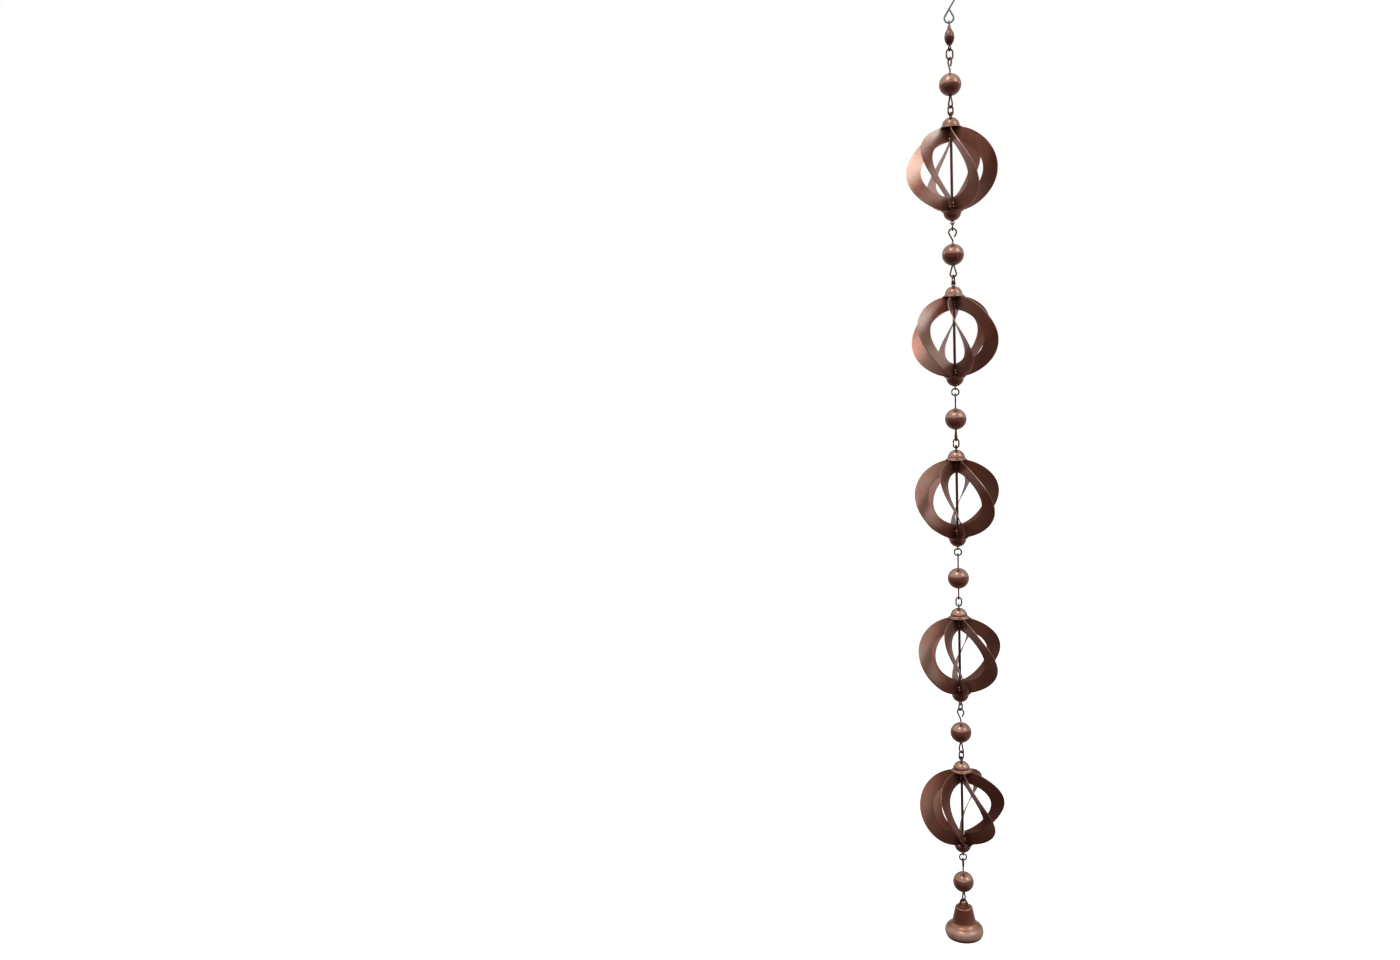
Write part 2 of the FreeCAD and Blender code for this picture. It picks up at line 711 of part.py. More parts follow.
def make_cap(name, piece, centre, flipped):
    """A pressed dome with a flared brim that covers the blades' ends."""
    body = new_body(f"{name}{piece}")
    spin_sheet(body, "Cap", cap_outline, size("cap_sheet"))
    finish(body, f"{name}_{piece}")
    over = Rotation(Vector(1, 0, 0), 180 if flipped else 0)
    shift = -CAP_CENTRE if flipped else CAP_CENTRE
    body.Placement = Placement(Vector(0, 0, centre + shift), over)


def make_spinner(number, centre, top_yaw, bottom_yaw, turn):
    """An axle with the cage that turns on it: two sleeves, six blades and two caps."""
    name = f"spinner_{number}"
    make_axle(name, centre, top_yaw, bottom_yaw)
    sleeve_end = blade_height(BLADE_FOOT)
    make_sleeve(name, "top_sleeve", centre, sleeve_end - size("top_sleeve_length"), "top_sleeve_length")
    make_sleeve(name, "bottom_sleeve", centre, -sleeve_end, "bottom_sleeve_length")
    count = int(size("blade_count"))
    blades = doc.addObject("Part::Feature", f"{name}Blades")
    blades.Shape = Part.makeCompound([blade_solid(turn + 360 * step / count) for step in range(count)])
    finish(blades, f"{name}_blades", centre)
    make_cap(name, "top_cap", centre, False)
    make_cap(name, "bottom_cap", centre, True)


def bell_outline(offset):
    """Half of the bell's section: crown, raised bead, cone, waist, bowl, skirt and turned lip."""
    bead, slope = size("bell_bead_turn"), size("bell_cone_slope")
    path = Bends(0, 0, OUTWARD, offset)
    path.straight(size("bell_crown_radius"), "sizes.bell_crown_radius" if not offset else None)
    path.bend(size("bell_bead_foot_bend"), bead, "sizes.bell_bead_foot_bend")
    path.bend(size("bell_bead_crest_bend"), -(bead + slope), "sizes.bell_bead_crest_bend")
    path.straight(size("bell_cone_length"))
    path.bend(size("bell_waist_bend"), size("bell_waist_turn"), "sizes.bell_waist_bend")
    path.bend(size("bell_bowl_bend"), -size("bell_bowl_turn"), "sizes.bell_bowl_bend")
    path.straight(size("bell_skirt"))
    path.bend(size("bell_lip_bend"), size("bell_lip_turn"), "sizes.bell_lip_bend")
    return path.straight(size("bell_lip"))


def bell_lug_sketch(name, yaw):
    """The lug on the crown: straight flanks that run up to a round head about the hole."""
    hole = size("bell_lug_hole_diameter") / 2
    head = hole + size("bell_lug_rim")
    foot = size("bell_lug_foot") / 2
    rise = size("bell_lug_rise")
    base = -size("bell_wall") / 2
    reach = math.hypot(foot, rise - base)
    flank = math.sqrt(reach ** 2 - head ** 2)
    lean = math.degrees(math.atan2(foot, rise - base)) - math.degrees(math.asin(head / reach))
    path = Bends(foot, base, UP + lean)
    path.straight(flank)
    path.bend(head, 2 * (90 - lean))
    path.straight(flank)
    sketch = doc.addObject("Sketcher::SketchObject", name)
    draw(sketch, path)
    sketch.addGeometry(Part.LineSegment(path.start, path.point), False)
    item = sketch.addGeometry(Part.Circle(Vector(0, rise, 0), Vector(0, 0, 1), hole), False)
    bind(sketch, "Radius", item, hole, "sizes.bell_lug_hole_diameter / 2")
    sketch.Placement = Placement(Vector(), upright(yaw))
    return sketch


def make_bell(eye_level):
    """The bell with its lug and its inner staple, hung from the last ball's lower eye."""
    hole = size("bell_lug_hole_diameter") / 2
    inside = size("bottom_eye_bend") - WIRE_RADIUS
    sag = inside - math.sqrt(inside ** 2 - (size("bell_lug_thickness") / 2) ** 2)
    crown = eye_level - (size("bell_lug_rise") + hole - WIRE_RADIUS - size("hang_gap") - sag)
    shell = new_body("BellShell")
    spin_bell(shell)
    staple = new_body("BellStaple")
    bend, leg = size("staple_bend"), size("staple_leg")
    path = Bends(-bend, -size("bell_wall") / 2, DOWN).straight(leg + size("bell_wall") / 2)
    path.bend(bend, 180, "sizes.staple_bend").straight(leg + size("bell_wall") / 2)
    sweep_wire(staple, "Staple", path, "clapper_wire_diameter", BELL_LUG_YAW)
    lug = plate("BellLug", bell_lug_sketch("BellLugOutline", BELL_LUG_YAW), "bell_lug_thickness")
    finish(fuse("Bell", [shell, lug, staple]), "bell", crown)
    levels["bell_crown"] = crown
    levels["staple"] = crown - size("bell_wall") - leg - bend


def spin_bell(body):
    """Revolve the bell's wall. The crown is closed, so its section starts on the axis."""
    spin_sheet(body, "Bell", bell_outline, size("bell_wall"))


def make_clapper():
    """A bent wire with an eye, and the bob on its lower end."""
    spread = size("clapper_eye_spread")
    rise = eye_rise(size("clapper_eye_bend"), size("clapper_knee_bend"), spread)
    shank, grip = size("clapper_shank"), size("bob_grip")
    link = 2 * CLAPPER_RADIUS + size("hang_gap")
    knee = levels["staple"] + link - rise
    path = Bends(0, 0, UP).straight(shank)
    add_eye(path, "clapper_eye_bend", "clapper_knee_bend", spread, CLAPPER_RADIUS)
    wire = new_body("ClapperWire")
    sweep_wire(wire, "Clapper", path, "clapper_wire_diameter", BELL_LUG_YAW + 90)
    finish(wire, "clapper_wire", knee - shank)
    bob = doc.addObject("Part::Sphere", "BobBall")
    bob.setExpression("Radius", "sizes.bob_diameter / 2")
    socket = cylinder("BobSocket", 2 * CLAPPER_RADIUS + 2 * size("running_gap"),
                      size("bob_diameter"), size("bob_diameter") / 2 - grip,
                      "sizes.clapper_wire_diameter / 2 + sizes.running_gap")
    centre = knee - shank + grip - size("seat_gap") - size("bob_diameter") / 2
    finish(cut("Bob", bob, socket), "clapper_bob", centre)
    levels["bob"] = centre


def hang_chain():
    """Make every piece, each hung from the one above it."""
    make_hook()
    make_swivel()
    wire = levels["swivel_bearing"] + SWIVEL_RADIUS + WIRE_RADIUS + size("hang_gap")
    bottom = make_ring("ring_first", size("first_ring_width"), size("first_ring_height"),
                       FIRST_RING_YAW, wire)
    levels["ring_first"] = bottom
    ball = bottom + LINK - TOP_EYE
    top_yaw = FIRST_RING_YAW + 90
    half_cage = {"upper": TOP_LUG_WIRE, "bar": BAR_CENTRE, "lower": BOTTOM_LUG_WIRE}
    for number in range(1, SPINNERS + 1):
        upper_yaw = UPPER_RING_YAWS[number - 1]
        lower_yaw = LOWER_RING_YAWS[number - 1]
        make_ball(number, ball, top_yaw, upper_yaw + 90)
        eye = ball - bottom_eye_drop()
        levels[f"ball_{number}"] = ball
        levels[f"eye_{number}"] = eye
        bottom = make_ring(f"ring_upper_{number}", size("upper_ring_width"), size("upper_ring_height"),
                           upper_yaw, eye + LINK)
        levels[f"ring_upper_{number}"] = bottom
        centre = bottom - half_cage["upper"]
        levels[f"spinner_{number}"] = centre
        make_spinner(number, centre, upper_yaw + 90, lower_yaw + 90, CAGE_TURNS[number - 1])
        levels[f"bar_{number}"] = centre - half_cage["bar"]
        width = size("lower_ring_width")
        bottom = make_ring(f"ring_lower_{number}", width, width, lower_yaw, centre - half_cage["lower"])
        levels[f"ring_lower_{number}"] = bottom
        ball = bottom + LINK - TOP_EYE
        top_yaw = lower_yaw + 90
    number = SPINNERS + 1
    make_ball(number, ball, top_yaw, BELL_LUG_YAW + 90)
    levels[f"ball_{number}"] = ball
    levels[f"eye_{number}"] = ball - bottom_eye_drop()
    make_bell(levels[f"eye_{number}"])
    make_clapper()


hang_chain()
doc.recompute()

for item in doc.Objects:
    if "Invalid" in item.State or "Error" in item.State:
        raise RuntimeError(f"{item.Label} has failed: {item.State}")
for piece in pieces:
    shape = piece.Shape
    if shape.isNull() or not shape.isValid() or not shape.Solids:
        raise RuntimeError(f"{piece.Label} has no valid solid")

os.makedirs("parts", exist_ok=True)
for piece in pieces:
    piece.Shape.exportStep(f"parts/{piece.Label}.step")
    print(piece.Label, len(piece.Shape.Solids), round(piece.Shape.Volume, 2))
print(len(pieces), "pieces, lowest point", round(min(p.Shape.BoundBox.ZMin for p in pieces), 2))
for name, level in levels.items():
    print(name, round(level, 3))
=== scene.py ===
"""The looks of a hanging rain chain: antique-copper paint, weld beads, drips of paint and studio light."""

import logging
import math
import random
from dataclasses import dataclass, field
from enum import Enum
from typing import Any, Sequence

import bmesh
import bpy
from mathutils import Matrix, Vector, noise

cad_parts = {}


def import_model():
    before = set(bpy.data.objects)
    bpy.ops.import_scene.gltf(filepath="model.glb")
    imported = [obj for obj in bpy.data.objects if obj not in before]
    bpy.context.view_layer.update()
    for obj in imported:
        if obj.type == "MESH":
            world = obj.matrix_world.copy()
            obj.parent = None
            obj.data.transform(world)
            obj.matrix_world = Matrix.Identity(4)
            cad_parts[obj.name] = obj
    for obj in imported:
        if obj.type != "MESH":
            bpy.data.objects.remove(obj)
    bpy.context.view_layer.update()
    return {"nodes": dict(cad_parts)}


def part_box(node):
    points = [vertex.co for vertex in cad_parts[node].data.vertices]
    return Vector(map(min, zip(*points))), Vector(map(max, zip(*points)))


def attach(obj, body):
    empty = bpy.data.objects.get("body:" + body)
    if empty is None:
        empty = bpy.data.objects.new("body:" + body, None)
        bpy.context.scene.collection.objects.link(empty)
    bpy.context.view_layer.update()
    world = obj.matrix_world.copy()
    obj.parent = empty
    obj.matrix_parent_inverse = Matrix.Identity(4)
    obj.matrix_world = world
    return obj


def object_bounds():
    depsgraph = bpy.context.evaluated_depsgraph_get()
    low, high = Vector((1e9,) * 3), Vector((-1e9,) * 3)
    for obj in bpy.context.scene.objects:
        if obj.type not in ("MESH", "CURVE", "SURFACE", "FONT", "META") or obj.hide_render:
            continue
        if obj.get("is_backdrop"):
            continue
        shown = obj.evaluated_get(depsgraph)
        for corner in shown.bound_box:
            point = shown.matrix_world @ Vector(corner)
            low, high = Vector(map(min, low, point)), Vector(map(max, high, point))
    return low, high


LOG = logging.getLogger("rain_chain")
MM = 0.001
Colour = tuple[float, float, float]


@dataclass(frozen=True)
class Grain:
    """How coarse a coat of paint is: the size of its clouds in metres, its pits and its roughness."""

    cloud: float
    pits: float
    rough: float


class Coating(Enum):
    """How the copper paint lies on what it covers."""

    SHEET = Grain(0.034, 0.25, 0.27)
    PRESSED = Grain(0.011, 0.45, 0.09)
    WIRE = Grain(0.004, 0.8, 0.22)
    CAST = Grain(0.016, 0.7, 0.19)


class Signal:
    """A shader socket that takes part in Python sums. Each operator adds the Math node that it names."""

    def __init__(self, bench: "Bench", socket: bpy.types.NodeSocket | None) -> None:
        """Keep the socket and the bench that its nodes stand on. An output node has no socket."""
        self.bench = bench
        self.socket = socket

    def _math(self, operation: str, first: Any, second: Any = 0.0) -> "Signal":
        """Add one Math node on two numbers or signals."""
        return self.bench.node("ShaderNodeMath", {"operation": operation}, {0: first, 1: second})

    def __add__(self, other: Any) -> "Signal":
        """Add a number or signal."""
        return self._math("ADD", self, other)

    __radd__ = __add__

    def __sub__(self, other: Any) -> "Signal":
        """Take a number or signal away."""
        return self._math("SUBTRACT", self, other)

    def __rsub__(self, other: Any) -> "Signal":
        """Take this signal away from a number."""
        return self._math("SUBTRACT", other, self)

    def __mul__(self, other: Any) -> "Signal":
        """Multiply by a number or signal."""
        return self._math("MULTIPLY", self, other)

    __rmul__ = __mul__

    def __truediv__(self, other: Any) -> "Signal":
        """Divide by a number or signal."""
        return self._math("DIVIDE", self, other)

    def __pow__(self, other: Any) -> "Signal":
        """Raise to a power."""
        return self._math("POWER", self, other)

    def __abs__(self) -> "Signal":
        """Drop the sign."""
        return self._math("ABSOLUTE", self)

    def most(self, other: Any) -> "Signal":
        """The greater of this and another."""
        return self._math("MAXIMUM", self, other)

    def ramp(self, low: float, high: float) -> "Signal":
        """A smooth step.

        Args:
            low: The value at which the step starts from 0.
            high: The value at which it reaches 1.

        Returns:
            A signal from 0 to 1.
        """
        return self.bench.node("ShaderNodeMapRange", {"interpolation_type": "SMOOTHSTEP"},
                               {"Value": self, "From Min": low, "From Max": high})


class Bench:
    """The node tree of a material or of the world, and the few ways in which nodes are put on it."""

    def __init__(self, owner: bpy.types.Material | bpy.types.World) -> None:
        """Clear the owner's node tree for new work."""
        owner.use_nodes = True
        self.tree = owner.node_tree
        self.tree.nodes.clear()

    def node(self, kind: str, settings: dict[str, Any] | None = None,
             inputs: dict[str | int, Any] | None = None, out: str | int = 0) -> Signal:
        """Add a node.

        Args:
            kind: The node's type.
            settings: Its properties, set first.
            inputs: A value or a signal for each socket.
            out: Which output to hand back.

        Returns:
            The chosen output, if the node has one.
        """
        made = self.tree.nodes.new(kind)
        for name, value in (settings or {}).items():
            setattr(made, name, value)
        for name, value in (inputs or {}).items():
            self._plug(made.inputs[name], value)
        return Signal(self, made.outputs[out] if made.outputs else None)

    def _plug(self, socket: bpy.types.NodeSocket, value: Any) -> None:
        """Link a signal to a socket, or set the socket's own value."""
        if isinstance(value, Signal):
            self.tree.links.new(value.socket, socket)
        elif isinstance(value, tuple) and len(value) == 3 and socket.type == "RGBA":
            socket.default_value = (*value, 1.0)
        else:
            socket.default_value = value

    def place(self) -> Signal:
        """The point on the object, in metres in the frame."""
        return self.node("ShaderNodeTexCoord", out="Object")

    def axes(self, vector: Signal) -> tuple[Signal, Signal, Signal]:
        """The three parts of a vector."""
        first = self.node("ShaderNodeSeparateXYZ", None, {0: vector})
        outputs = first.socket.node.outputs
        return first, Signal(self, outputs[1]), Signal(self, outputs[2])

    def polar(self) -> tuple[Signal, Signal]:
        """How far the surface is from the chain's axis, and how high it is, in metres in the frame."""
        x, y, z = self.axes(self.place())
        return (x ** 2.0 + y ** 2.0) ** 0.5, z

    def distance(self, point: Vector) -> Signal:
        """How far the surface is from a point of the frame, in metres."""
        return self.node("ShaderNodeVectorMath", {"operation": "DISTANCE"},
                         {0: self.place(), 1: point}, out="Value")

    def noise(self, size: float, detail: float = 2.0, stretch: Vector | None = None,
              rough: float = 0.5) -> Signal:
        """Cloudy noise.

        Args:
            size: The width of its patches, in metres.
            detail: How many finer layers it has.
            stretch: How much longer its patches are along each axis.
            rough: How strong the finer layers are.

        Returns:
            A signal about 0.5.
        """
        at = self.place()
        if stretch is not None:
            scale = Vector((1 / stretch.x, 1 / stretch.y, 1 / stretch.z))
            at = self.node("ShaderNodeVectorMath", {"operation": "MULTIPLY"}, {0: at, 1: scale})
        return self.node("ShaderNodeTexNoise", None,
                         {"Vector": at, "Scale": 1 / size, "Detail": detail, "Roughness": rough})

    def blend(self, amount: Any, under: Any, over: Any) -> Signal:
        """Mix two colours, the second over the first by this amount."""
        return self.node("ShaderNodeMix", {"data_type": "RGBA"}, {0: amount, 6: under, 7: over}, out=2)

    def bump(self, height: Signal, depth: float) -> Signal:
        """A bumped normal whose full height is this depth in metres."""
        return self.node("ShaderNodeBump", None, {"Height": height, "Distance": depth, "Strength": 1.0})

    def surface(self, inputs: dict[str, Any]) -> None:
        """Finish a material with one Principled surface.

        Args:
            inputs: What its sockets get.
        """
        shade = self.node("ShaderNodeBsdfPrincipled", None, inputs)
        self.node("ShaderNodeOutputMaterial", None, {"Surface": shade})


@dataclass(frozen=True)
class Layers:
    """What varies over a painted surface: its colour, roughness, relief and share of bare metal."""

    colour: Signal
    rough: Signal
    height: Signal
    metal: Signal


@dataclass(frozen=True)
class CopperPaint:
    """Satin copper-brown metallic paint, mottled, with grain that suits what it covers."""

    name: str
    coating: Coating
    light: Colour = (0.425, 0.242, 0.188)
    middle: Colour = (0.305, 0.152, 0.112)
    dark: Colour = (0.065, 0.024, 0.017)
    flake: Colour = (0.58, 0.37, 0.28)
    metallic: float = 0.86

    def build(self) -> bpy.types.Material:
        """Make the material.

        Returns:
            The finished material.
        """
        material = bpy.data.materials.new(self.name)
        bench = Bench(material)
        self.finish(bench, self.detail(bench, self.layers(bench)))
        return material

    def layers(self, bench: Bench) -> Layers:
        """Lay the paint itself, with its clouds, flakes, grain and pits.

        Args:
            bench: The material's node tree.

        Returns:
            The paint's layers.
        """
        coat = self.coating.value
        cloud = bench.noise(coat.cloud, 3.0, Vector((1, 1, 1.5)))
        flake = bench.noise(0.00035, 1.0)
        grain = bench.noise(0.0012, 3.0)
        pores = bench.noise(0.0031, 2.0, rough=0.7)
        worn = (cloud * 0.8 + pores * 0.2).ramp(0.36, 0.66)
        pits = (1 - pores.ramp(0.24, 0.38)) * coat.pits
        colour = bench.blend(worn, self.middle, self.light)
        colour = bench.blend(pits * 0.7, colour, self.dark)
        colour = bench.blend(flake.ramp(0.60, 0.80) * 0.20, colour, self.flake)
        rough = coat.rough + 0.10 * cloud + 0.05 * grain + 0.12 * pits
        return Layers(colour, rough, grain * 0.45 + flake * 0.15 + pores * 0.5, self.metallic - 0.1 * pits)

    def detail(self, bench: Bench, paint: Layers) -> Layers:
        """What this piece adds to the paint. A plain coat adds nothing."""
        return paint

    def finish(self, bench: Bench, paint: Layers) -> None:
        """Close the material with these layers under a thin clear coat."""
        bench.surface({"Base Color": paint.colour, "Roughness": paint.rough, "Metallic": paint.metal,
                       "Coat Weight": 0.16, "Coat Roughness": 0.16,
                       "Normal": bench.bump(paint.height, 0.00005)})


@dataclass(frozen=True)
class BladePaint(CopperPaint):
    """Copper paint on a cage's blades, rubbed along their edges, with painted shade where they meet the
    sleeves and a painted shade that darkens the lower cages.
    """

    light: Colour = (0.50, 0.34, 0.27)
    middle: Colour = (0.42, 0.196, 0.143)
    metallic: float = 0.74
    centre: float = 0.0
    # painted shade: the share by which the whole blade is darkened towards the darker tone below, standing in
    # for light that falls off down the chain
    age: float = 0.0
    reach: float = 49.5 * MM
    rise: float = 45.7 * MM
    band: float = 15.8 * MM
    shaded_colour: Colour = (0.20, 0.068, 0.040)
    polished: Colour = (0.56, 0.33, 0.24)

    def detail(self, bench: Bench, paint: Layers) -> Layers:
        """Add the rubbed edges, the painted shade at the roots and the painted shade over the whole blade.

        Args:
            bench: The material's node tree.
            paint: The plain paint.

        Returns:
            The paint with all three.
        """
        around, z = bench.polar()
        height = abs(z - self.centre)
        outer, inner = self._oval(around, height, 0.0), self._oval(around, height, self.band)
        edge = outer.ramp(0.984, 0.998).most(1 - inner.ramp(1.003, 1.024))
        rubbed = edge * bench.noise(0.0045, 3.0, rough=0.7).ramp(0.30, 0.62)
        # painted shade at the roots: the blades darken near the axle, close to the caps, where they meet the
        # sleeves
        root = (1 - around.ramp(0.004, 0.019)) * height.ramp(0.026, 0.036)
        painted_root_shade = (root * (0.55 + 0.6 * bench.noise(0.006, 3.0))).ramp(0.1, 0.9)
        # painted shade: pulls the whole blade towards a darker tone, more on the lower cages, for light that
        # falls off down the chain
        colour = bench.blend(self.age, paint.colour, self.shaded_colour)
        colour = bench.blend(rubbed * 0.6, colour, self.polished)
        colour = bench.blend(painted_root_shade * 0.6, colour, self.dark)
        return Layers(colour, paint.rough - 0.06 * rubbed + 0.1 * painted_root_shade, paint.height, paint.metal)

    def _oval(self, around: Signal, height: Signal, inset: float) -> Signal:
        """Where the surface lies from the cage's middle, at 0, to its oval outline inset this far, at 1."""
        return ((around / (self.reach - inset)) ** 2.0 + (height / (self.rise - inset)) ** 2.0) ** 0.5


@dataclass(frozen=True)
class CapPaint(CopperPaint):
    """Copper paint on a pressed cap: dark and golden specks crowd on its brim."""

    brim: float = 0.0
    gold: Colour = (0.62, 0.43, 0.22)

    def detail(self, bench: Bench, paint: Layers) -> Layers:
        """Add the specks on the brim.

        Args:
            bench: The material's node tree.
            paint: The plain paint.

        Returns:
            The paint with the specks.
        """
        around, z = bench.polar()
        edge = (1 - abs(z - self.brim).ramp(0.0006, 0.0026)) * around.ramp(0.0098, 0.0117)
        specks = bench.noise(0.0011, 2.0, rough=0.65)
        dark = specks.ramp(0.52, 0.60) * edge
        golden = (1 - specks.ramp(0.36, 0.42)) * edge
        colour = bench.blend(dark * 0.85, paint.colour, self.dark)
        colour = bench.blend(golden * 0.8, colour, self.gold)
        return Layers(colour, paint.rough + 0.1 * dark, paint.height + 1.6 * dark, paint.metal)


@dataclass(frozen=True)
class WirePaint(CopperPaint):
    """Copper paint on bent wire and on rods, browner than on sheet."""

    light: Colour = (0.18, 0.103, 0.079)
    middle: Colour = (0.105, 0.055, 0.042)


@dataclass(frozen=True)
class CutWirePaint(WirePaint):
    """Copper paint on an open ring, bare and brassy where the shears cut its two ends."""

    cut: Vector = field(default_factory=Vector)
    brass: Colour = (0.60, 0.42, 0.20)
    dull_brass: Colour = (0.30, 0.19, 0.10)

    def detail(self, bench: Bench, paint: Layers) -> Layers:
        """Add the bare ends.

        Args:
            bench: The material's node tree.
            paint: The plain paint.

        Returns:
            The paint with the bare ends.
        """
        shear = bench.noise(0.0006, 2.0, Vector((1, 1, 5)))
        bare = 1 - (bench.distance(self.cut) + 0.0001 * shear).ramp(0.00100, 0.00110)
        singed = (1 - bench.distance(self.cut).ramp(0.0011, 0.0032)) * 0.5
        colour = bench.blend(singed, paint.colour, self.dark)
        colour = bench.blend(bare, colour, bench.blend(shear.ramp(0.4, 0.7), self.brass, self.dull_brass))
        return Layers(colour, paint.rough + 0.06 * bare, paint.height + 0.8 * bare * shear, paint.metal)


@dataclass(frozen=True)
class BellPaint(CopperPaint):
    """Copper paint on the bell: a dull, pale painted highlight low on the bowl, and painted shade along the
    lip.
    """

    light: Colour = (0.36, 0.175, 0.122)
    middle: Colour = (0.27, 0.105, 0.070)
    mouth: float = 0.0
    # colour of the painted highlight low on the bowl
    pale: Colour = (0.57, 0.425, 0.350)

    def detail(self, bench: Bench, paint: Layers) -> Layers:
        """Add the painted highlight low on the bowl and the painted shade along the lip.

        Args:
            bench: The material's node tree.
            paint: The plain paint.

        Returns:
            The paint with both.
        """
        _, _, z = bench.axes(bench.place())
        height = z - self.mouth
        # painted highlight: a pale, less metallic belt low on the bowl, where light catches the flare near
        # the rim
        painted_highlight = height.ramp(0.0016, 0.0048) * (1 - height.ramp(0.0070, 0.0150))
        painted_highlight = painted_highlight * (0.55 + 0.75 * bench.noise(0.012, 2.0))
        # painted shadow: the lowest millimetre above the mouth is darkened, the shade under the lip
        lip = 1 - height.ramp(0.0004, 0.0016)
        colour = bench.blend(painted_highlight * 0.8, paint.colour, self.pale)
        colour = bench.blend(lip * 0.8, colour, self.dark)
        return Layers(colour, paint.rough + 0.08 * painted_highlight, paint.height, paint.metal - 0.42 * painted_highlight)


@dataclass(frozen=True)
class HookSteel:
    """Bare drawn steel wire, dull grey, with fine draw lines and a breath of tarnish."""

    name: str
    bright: Colour = (0.36, 0.36, 0.365)
    dull: Colour = (0.20, 0.195, 0.19)
    tarnish: Colour = (0.22, 0.13, 0.075)

    def build(self) -> bpy.types.Material:
        """Make the material.

        Returns:
            The finished material.
        """
        material = bpy.data.materials.new(self.name)
        bench = Bench(material)
        drawn = bench.noise(0.0002, 2.0, Vector((1, 1, 14)), rough=0.6)
        cloud = bench.noise(0.006, 3.0)
        spots = bench.noise(0.0018, 3.0, rough=0.7).ramp(0.60, 0.74)
        colour = bench.blend(cloud.ramp(0.36, 0.64), self.dull, self.bright)
        colour = bench.blend(spots * 0.6, colour, self.tarnish)
        rough = 0.30 + 0.14 * drawn + 0.2 * spots
        bench.surface({"Base Color": colour, "Roughness": rough, "Metallic": 0.95,
                       "Normal": bench.bump(drawn * 0.6 + spots * 0.5, 0.00004)})
        return material


@dataclass(frozen=True)
class WeldSkin:
    """Paint over a weld bead or a drip: thicker, glossier and pinker, and darker where its ripples dip."""

    name: str
    crest: Colour = (0.46, 0.235, 0.175)
    hollow: Colour = (0.13, 0.050, 0.036)
    gloss: float = 0.17

    def build(self) -> bpy.types.Material:
        """Make the material.

        Returns:
            The finished material.
        """
        material = bpy.data.materials.new(self.name)
        bench = Bench(material)
        ripple = bench.noise(0.0011, 3.0, rough=0.6)
        scale = bench.noise(0.0004, 2.0)
        colour = bench.blend(ripple.ramp(0.38, 0.62), self.hollow, self.crest)
        bench.surface({"Base Color": colour, "Roughness": self.gloss + 0.14 * scale, "Metallic": 0.8,
                       "Coat Weight": 0.35, "Coat Roughness": 0.12,
                       "Normal": bench.bump(ripple + 0.3 * scale, 0.00012)})
        return material


@dataclass(frozen=True)
class StudioPaper:
    """Matt white backdrop paper, faintly lit from within so that it stays even."""

    name: str
    white: Colour = (0.93, 0.93, 0.925)
    shade: Colour = (0.90, 0.90, 0.895)
    glow: Colour = (1.0, 1.0, 0.995)
    glow_strength: float = 0.25

    def build(self) -> bpy.types.Material:
        """Make the material.

        Returns:
            The finished material.
        """
        material = bpy.data.materials.new(self.name)
        bench = Bench(material)
        cloud = bench.noise(1.4, 3.0)
        fibre = bench.noise(0.004, 2.0)
        colour = bench.blend(cloud * 0.4, self.white, self.shade)
        bench.surface({"Base Color": colour, "Roughness": 0.9, "Specular IOR Level": 0.2,
                       "Emission Color": self.glow, "Emission Strength": self.glow_strength,
                       "Normal": bench.bump(fibre, 0.0001)})
        return material


